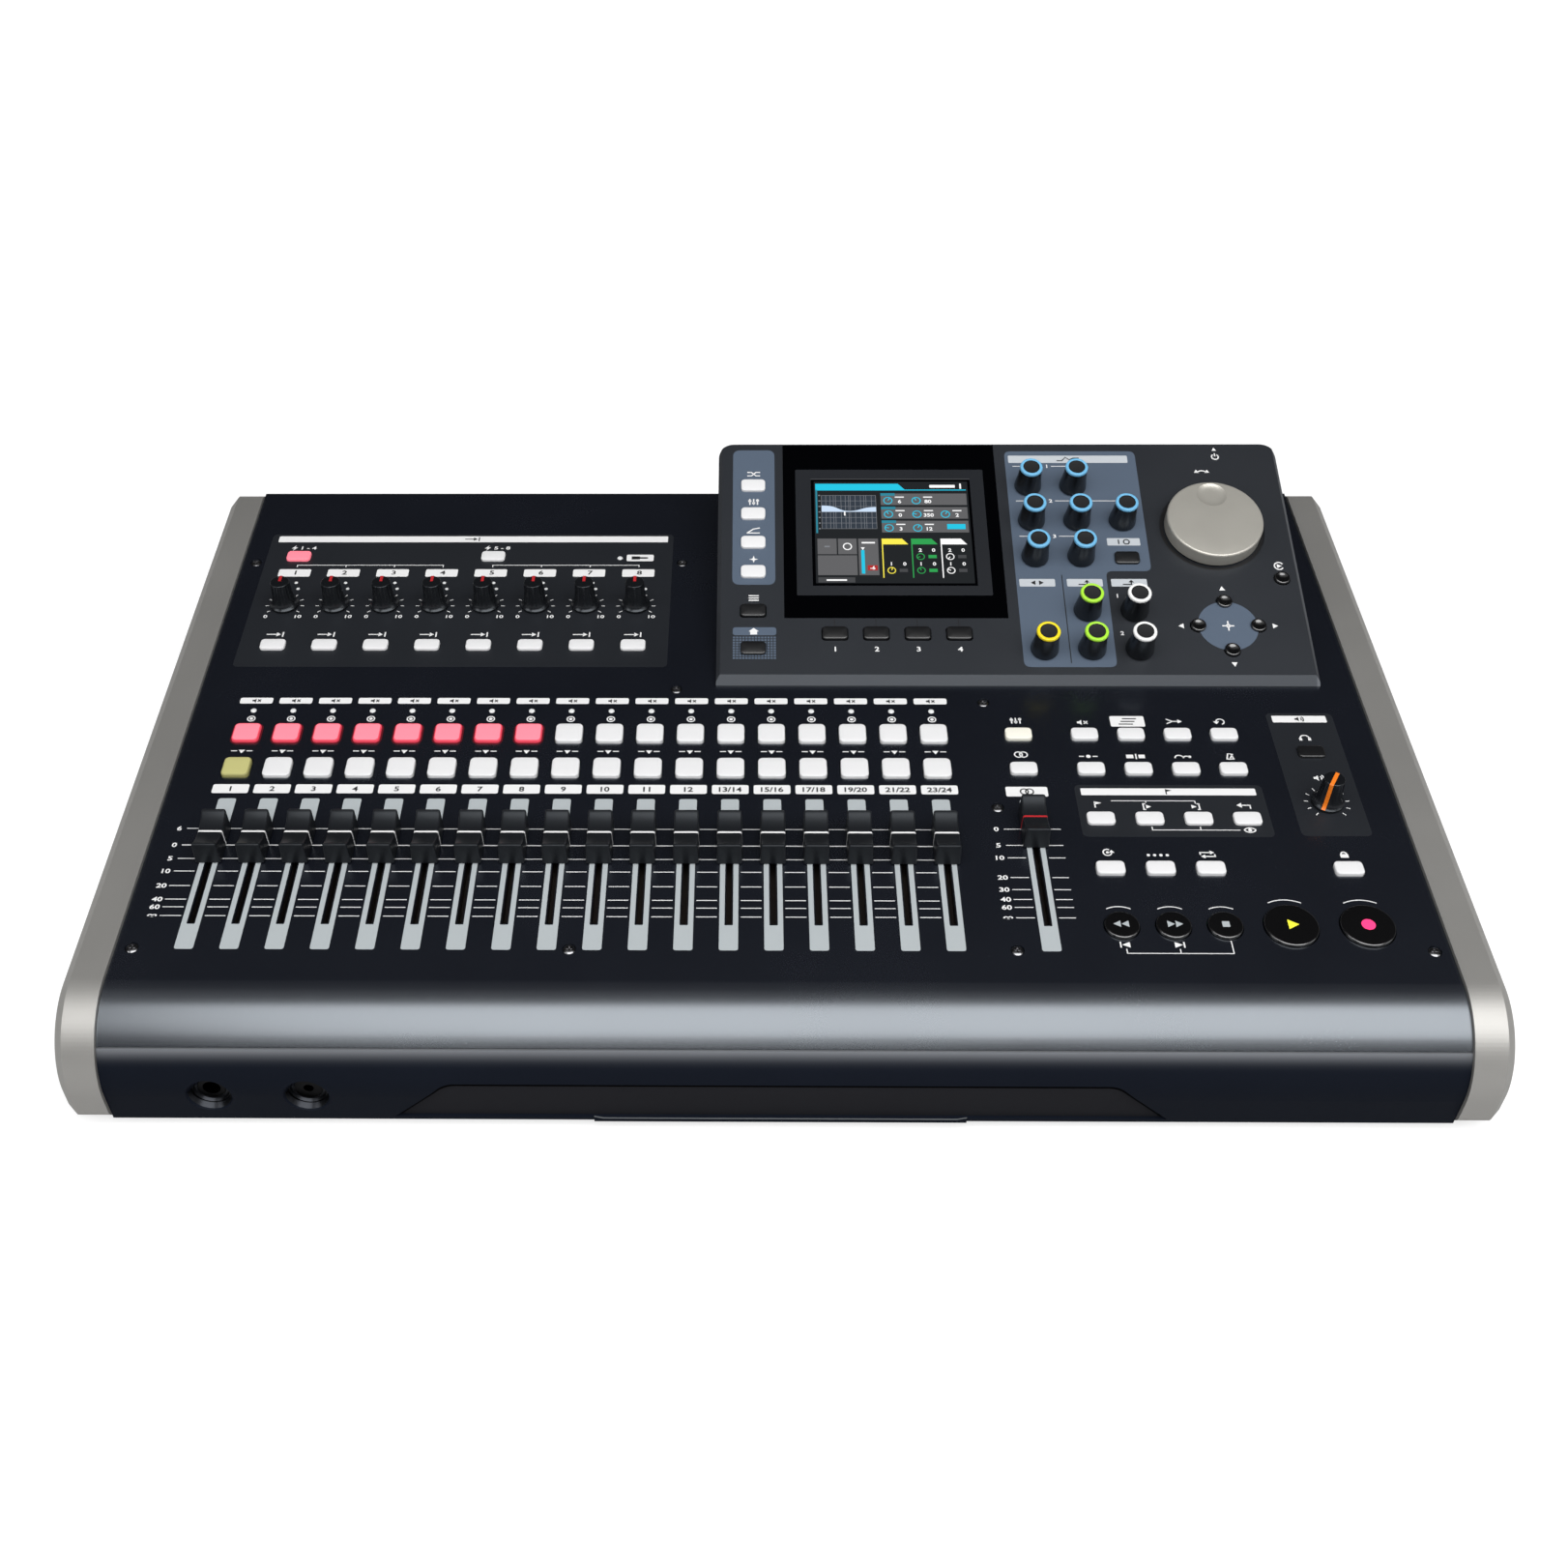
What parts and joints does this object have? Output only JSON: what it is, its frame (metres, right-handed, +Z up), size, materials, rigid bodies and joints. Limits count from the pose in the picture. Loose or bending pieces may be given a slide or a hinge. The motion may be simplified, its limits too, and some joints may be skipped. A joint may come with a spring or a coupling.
{
  "type": "digital multitrack recorder",
  "caption": "Desktop multitrack recorder with a sloping fader deck, key rows, trim knobs and a raised console holding a screen, encoders and a jog wheel.",
  "frame": {"origin": "on the table, under the middle of the recorder's overall box", "axes": "+X to the operator's right along the fader row, +Y to the rear, +Z up"},
  "size_m": [0.514, 0.34, 0.1041],
  "materials": {
    "tray": "satin black",
    "rear": "satin black",
    "deck": "satin blue black",
    "cheek": "satin silver paint",
    "fascia": "satin navy black",
    "console": "fine grained dark grey",
    "window": "gloss black",
    "screen": "lit display",
    "board": "green laminate",
    "control_case": "grey resin and tin",
    "socket": "black with plated contacts",
    "rubber": "matt black",
    "screw": "black oxide",
    "key": "satin white, some lit",
    "gloss_button": "gloss black",
    "wheel": "satin champagne silver",
    "fader_cap": "satin black with painted line",
    "knob": "satin black",
    "encoder": "soft black with coloured ring"
  },
  "bodies": {
    "case": {"base_tray": "tray", "rear_panel": "rear", "top_panel": "deck", "left_cheek": "cheek", "right_cheek": "cheek", "front_fascia": "fascia", "display_housing": "console", "display_window": "window", "screen_module": "screen", "circuit_boards": "board", "pots_and_encoders": "control_case", "sockets": "socket", "rubber_feet": "rubber", "screws": "screw"},
    "channel_keys": {"channel_keys": "key"},
    "deck_keys": {"deck_keys": "key"},
    "console_keys": {"console_keys": "key"},
    "transport_buttons": {"transport_buttons": "gloss_button"},
    "power_button": {"power_button": "gloss_button"},
    "fader_1": {"fader_1": "fader_cap"},
    "fader_2": {"fader_2": "fader_cap"},
    "fader_3": {"fader_3": "fader_cap"},
    "fader_4": {"fader_4": "fader_cap"},
    "fader_5": {"fader_5": "fader_cap"},
    "fader_6": {"fader_6": "fader_cap"},
    "fader_7": {"fader_7": "fader_cap"},
    "fader_8": {"fader_8": "fader_cap"},
    "fader_9": {"fader_9": "fader_cap"},
    "fader_10": {"fader_10": "fader_cap"},
    "fader_11": {"fader_11": "fader_cap"},
    "fader_12": {"fader_12": "fader_cap"},
    "fader_13": {"fader_13": "fader_cap"},
    "fader_14": {"fader_14": "fader_cap"},
    "fader_15": {"fader_15": "fader_cap"},
    "fader_16": {"fader_16": "fader_cap"},
    "fader_17": {"fader_17": "fader_cap"},
    "fader_18": {"fader_18": "fader_cap"},
    "stereo_fader": {"stereo_fader": "fader_cap"},
    "monitor_knob": {"monitor_knob": "knob"},
    "jog_wheel": {"jog_wheel": "wheel"},
    "trim_knob_1": {"trim_knob_1": "knob"},
    "trim_knob_2": {"trim_knob_2": "knob"},
    "trim_knob_3": {"trim_knob_3": "knob"},
    "trim_knob_4": {"trim_knob_4": "knob"},
    "trim_knob_5": {"trim_knob_5": "knob"},
    "trim_knob_6": {"trim_knob_6": "knob"},
    "trim_knob_7": {"trim_knob_7": "knob"},
    "trim_knob_8": {"trim_knob_8": "knob"},
    "encoder_knob_1": {"encoder_knob_1": "encoder"},
    "encoder_knob_2": {"encoder_knob_2": "encoder"},
    "encoder_knob_3": {"encoder_knob_3": "encoder"},
    "encoder_knob_4": {"encoder_knob_4": "encoder"},
    "encoder_knob_5": {"encoder_knob_5": "encoder"},
    "encoder_knob_6": {"encoder_knob_6": "encoder"},
    "encoder_knob_7": {"encoder_knob_7": "encoder"},
    "encoder_knob_8": {"encoder_knob_8": "encoder"},
    "encoder_knob_9": {"encoder_knob_9": "encoder"},
    "encoder_knob_10": {"encoder_knob_10": "encoder"},
    "encoder_knob_11": {"encoder_knob_11": "encoder"},
    "encoder_knob_12": {"encoder_knob_12": "encoder"}
  },
  "joints": [
    {"name": "jog_wheel_turn", "type": "hinge", "parent": "case", "child": "jog_wheel", "pos_m": [0.19207, 0.09507, 0.08285], "axis": [0, -0.2907, 0.9568], "continuous": true},
    {"name": "fader_1_slide", "type": "slide", "parent": "case", "child": "fader_1", "axis": [0, 0.9989, 0.0471], "range_m": [-0.0359, 0.0088]},
    {"name": "stereo_fader_slide", "type": "slide", "parent": "case", "child": "stereo_fader", "axis": [0, 0.9989, 0.0471], "range_m": [-0.0447, 0]},
    {"name": "monitor_knob_turn", "type": "hinge", "parent": "case", "child": "monitor_knob", "pos_m": [0.21432, -0.05018, 0.05264], "axis": [0, -0.0471, 0.9989], "range_deg": [-300, 0]},
    {"name": "trim_knob_1_turn", "type": "hinge", "parent": "case", "child": "trim_knob_1", "pos_m": [-0.21682, 0.07158, 0.05839], "axis": [0, -0.0471, 0.9989], "range_deg": [-150, 150]},
    {"name": "channel_keys_press", "type": "slide", "parent": "case", "child": "channel_keys", "axis": [0, 0.0471, -0.9989], "range_m": [0, 0.001], "stiffness_N_per_m": 800},
    {"name": "deck_keys_press", "type": "slide", "parent": "case", "child": "deck_keys", "axis": [0, 0.0471, -0.9989], "range_m": [0, 0.001], "stiffness_N_per_m": 800},
    {"name": "console_keys_press", "type": "slide", "parent": "case", "child": "console_keys", "axis": [0, 0.2907, -0.9568], "range_m": [0, 0.001], "stiffness_N_per_m": 800},
    {"name": "transport_buttons_press", "type": "slide", "parent": "case", "child": "transport_buttons", "axis": [0, 0.0471, -0.9989], "range_m": [0, 0.001], "stiffness_N_per_m": 800},
    {"name": "power_button_press", "type": "slide", "parent": "case", "child": "power_button", "axis": [0, -1, 0], "range_m": [0, 0.0015], "stiffness_N_per_m": 800},
    {"name": "encoder_knob_1_turn", "type": "hinge", "parent": "case", "child": "encoder_knob_1", "pos_m": [0.11307, 0.11832, 0.08992], "axis": [0, -0.2907, 0.9568], "continuous": true},
    {"name": "fader_2_slide", "type": "slide", "parent": "case", "child": "fader_2", "axis": [0, 0.9989, 0.0471], "range_m": [-0.0359, 0.0088]},
    {"name": "fader_3_slide", "type": "slide", "parent": "case", "child": "fader_3", "axis": [0, 0.9989, 0.0471], "range_m": [-0.0359, 0.0088]},
    {"name": "fader_4_slide", "type": "slide", "parent": "case", "child": "fader_4", "axis": [0, 0.9989, 0.0471], "range_m": [-0.0359, 0.0088]},
    {"name": "fader_5_slide", "type": "slide", "parent": "case", "child": "fader_5", "axis": [0, 0.9989, 0.0471], "range_m": [-0.0359, 0.0088]},
    {"name": "fader_6_slide", "type": "slide", "parent": "case", "child": "fader_6", "axis": [0, 0.9989, 0.0471], "range_m": [-0.0359, 0.0088]},
    {"name": "fader_7_slide", "type": "slide", "parent": "case", "child": "fader_7", "axis": [0, 0.9989, 0.0471], "range_m": [-0.0359, 0.0088]},
    {"name": "fader_8_slide", "type": "slide", "parent": "case", "child": "fader_8", "axis": [0, 0.9989, 0.0471], "range_m": [-0.0359, 0.0088]},
    {"name": "fader_9_slide", "type": "slide", "parent": "case", "child": "fader_9", "axis": [0, 0.9989, 0.0471], "range_m": [-0.0359, 0.0088]},
    {"name": "fader_10_slide", "type": "slide", "parent": "case", "child": "fader_10", "axis": [0, 0.9989, 0.0471], "range_m": [-0.0359, 0.0088]},
    {"name": "fader_11_slide", "type": "slide", "parent": "case", "child": "fader_11", "axis": [0, 0.9989, 0.0471], "range_m": [-0.0359, 0.0088]},
    {"name": "fader_12_slide", "type": "slide", "parent": "case", "child": "fader_12", "axis": [0, 0.9989, 0.0471], "range_m": [-0.0359, 0.0088]},
    {"name": "fader_13_slide", "type": "slide", "parent": "case", "child": "fader_13", "axis": [0, 0.9989, 0.0471], "range_m": [-0.0359, 0.0088]},
    {"name": "fader_14_slide", "type": "slide", "parent": "case", "child": "fader_14", "axis": [0, 0.9989, 0.0471], "range_m": [-0.0359, 0.0088]},
    {"name": "fader_15_slide", "type": "slide", "parent": "case", "child": "fader_15", "axis": [0, 0.9989, 0.0471], "range_m": [-0.0359, 0.0088]},
    {"name": "fader_16_slide", "type": "slide", "parent": "case", "child": "fader_16", "axis": [0, 0.9989, 0.0471], "range_m": [-0.0359, 0.0088]},
    {"name": "fader_17_slide", "type": "slide", "parent": "case", "child": "fader_17", "axis": [0, 0.9989, 0.0471], "range_m": [-0.0359, 0.0088]},
    {"name": "fader_18_slide", "type": "slide", "parent": "case", "child": "fader_18", "axis": [0, 0.9989, 0.0471], "range_m": [-0.0359, 0.0088]},
    {"name": "trim_knob_2_turn", "type": "hinge", "parent": "case", "child": "trim_knob_2", "pos_m": [-0.19462, 0.07158, 0.05839], "axis": [0, -0.0471, 0.9989], "range_deg": [-150, 150]},
    {"name": "trim_knob_3_turn", "type": "hinge", "parent": "case", "child": "trim_knob_3", "pos_m": [-0.17242, 0.07158, 0.05839], "axis": [0, -0.0471, 0.9989], "range_deg": [-150, 150]},
    {"name": "trim_knob_4_turn", "type": "hinge", "parent": "case", "child": "trim_knob_4", "pos_m": [-0.15022, 0.07158, 0.05839], "axis": [0, -0.0471, 0.9989], "range_deg": [-150, 150]},
    {"name": "trim_knob_5_turn", "type": "hinge", "parent": "case", "child": "trim_knob_5", "pos_m": [-0.12802, 0.07158, 0.05839], "axis": [0, -0.0471, 0.9989], "range_deg": [-150, 150]},
    {"name": "trim_knob_6_turn", "type": "hinge", "parent": "case", "child": "trim_knob_6", "pos_m": [-0.10583, 0.07158, 0.05839], "axis": [0, -0.0471, 0.9989], "range_deg": [-150, 150]},
    {"name": "trim_knob_7_turn", "type": "hinge", "parent": "case", "child": "trim_knob_7", "pos_m": [-0.08363, 0.07158, 0.05839], "axis": [0, -0.0471, 0.9989], "range_deg": [-150, 150]},
    {"name": "trim_knob_8_turn", "type": "hinge", "parent": "case", "child": "trim_knob_8", "pos_m": [-0.06143, 0.07158, 0.05839], "axis": [0, -0.0471, 0.9989], "range_deg": [-150, 150]},
    {"name": "encoder_knob_2_turn", "type": "hinge", "parent": "case", "child": "encoder_knob_2", "pos_m": [0.13307, 0.11832, 0.08992], "axis": [0, -0.2907, 0.9568], "continuous": true},
    {"name": "encoder_knob_3_turn", "type": "hinge", "parent": "case", "child": "encoder_knob_3", "pos_m": [0.11307, 0.09919, 0.0841], "axis": [0, -0.2907, 0.9568], "continuous": true},
    {"name": "encoder_knob_4_turn", "type": "hinge", "parent": "case", "child": "encoder_knob_4", "pos_m": [0.13307, 0.09919, 0.0841], "axis": [0, -0.2907, 0.9568], "continuous": true},
    {"name": "encoder_knob_5_turn", "type": "hinge", "parent": "case", "child": "encoder_knob_5", "pos_m": [0.15307, 0.09919, 0.0841], "axis": [0, -0.2907, 0.9568], "continuous": true},
    {"name": "encoder_knob_6_turn", "type": "hinge", "parent": "case", "child": "encoder_knob_6", "pos_m": [0.11307, 0.08005, 0.07829], "axis": [0, -0.2907, 0.9568], "continuous": true},
    {"name": "encoder_knob_7_turn", "type": "hinge", "parent": "case", "child": "encoder_knob_7", "pos_m": [0.13307, 0.08005, 0.07829], "axis": [0, -0.2907, 0.9568], "continuous": true},
    {"name": "encoder_knob_8_turn", "type": "hinge", "parent": "case", "child": "encoder_knob_8", "pos_m": [0.11307, 0.03288, 0.06396], "axis": [0, -0.2907, 0.9568], "continuous": true},
    {"name": "encoder_knob_9_turn", "type": "hinge", "parent": "case", "child": "encoder_knob_9", "pos_m": [0.13307, 0.05201, 0.06977], "axis": [0, -0.2907, 0.9568], "continuous": true},
    {"name": "encoder_knob_10_turn", "type": "hinge", "parent": "case", "child": "encoder_knob_10", "pos_m": [0.13307, 0.03288, 0.06396], "axis": [0, -0.2907, 0.9568], "continuous": true},
    {"name": "encoder_knob_11_turn", "type": "hinge", "parent": "case", "child": "encoder_knob_11", "pos_m": [0.15307, 0.05201, 0.06977], "axis": [0, -0.2907, 0.9568], "continuous": true},
    {"name": "encoder_knob_12_turn", "type": "hinge", "parent": "case", "child": "encoder_knob_12", "pos_m": [0.15307, 0.03288, 0.06396], "axis": [0, -0.2907, 0.9568], "continuous": true}
  ]
}
